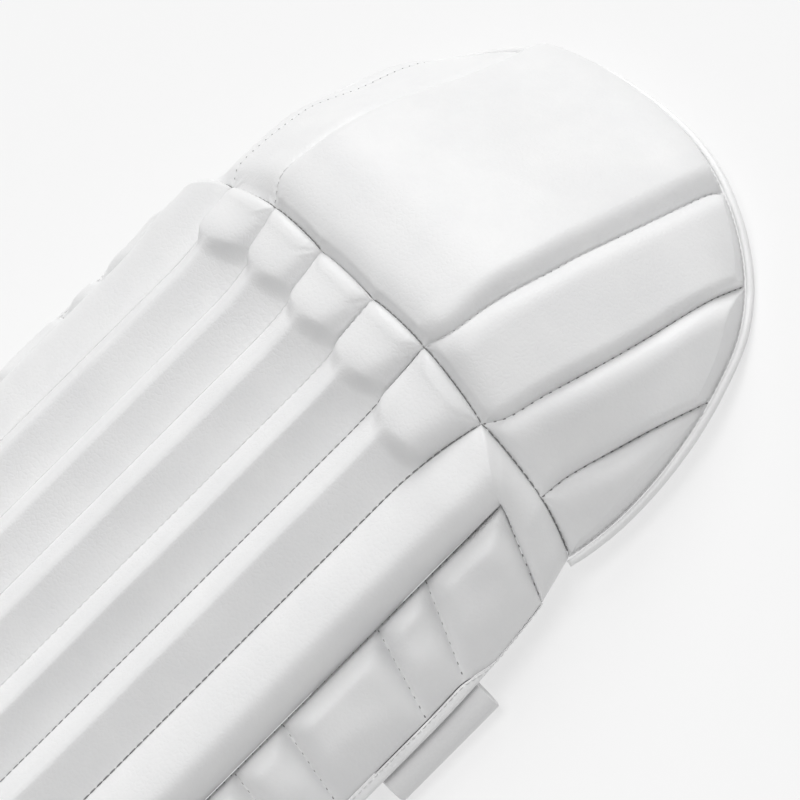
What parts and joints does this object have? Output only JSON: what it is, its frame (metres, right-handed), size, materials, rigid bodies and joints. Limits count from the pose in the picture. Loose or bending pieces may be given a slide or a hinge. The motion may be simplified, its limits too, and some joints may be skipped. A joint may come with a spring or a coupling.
{
  "type": "wicket keeping leg guard",
  "caption": "Padded wicket keeping leg guard: rolls down the shin, quilted side wings, a rounded piped hat over the knee, and straps behind.",
  "frame": {"origin": "on the floor under the middle of the guard, which lies on its back", "axes": "+Y up the shin to the rounded hat, +Z out of the padded front, +X to the right of someone who looks at the front"},
  "size_m": [0.321, 0.5993, 0.089],
  "materials": {
    "cover": "smooth white coated leather with a fine grain",
    "piping": "smooth white piping",
    "strap": "white coated webbing"
  },
  "bodies": {
    "root": {"shin_roll_1": "cover", "shin_roll_2": "cover", "shin_roll_3": "cover", "shin_roll_4": "cover", "shin_roll_5": "cover", "side_roll_left": "cover", "side_roll_right": "cover", "wing_left": "cover", "wing_right": "cover", "hat_panel_centre": "cover", "hat_panel_left_inner": "cover", "hat_panel_left_middle": "cover", "hat_panel_left_outer": "cover", "hat_panel_right_inner": "cover", "hat_panel_right_middle": "cover", "hat_panel_right_outer": "cover", "wing_binding_left": "cover", "wing_binding_right": "cover", "hat_piping": "piping", "instep_piping": "piping", "calf_strap": "strap", "ankle_strap": "strap"}
  },
  "joints": []
}
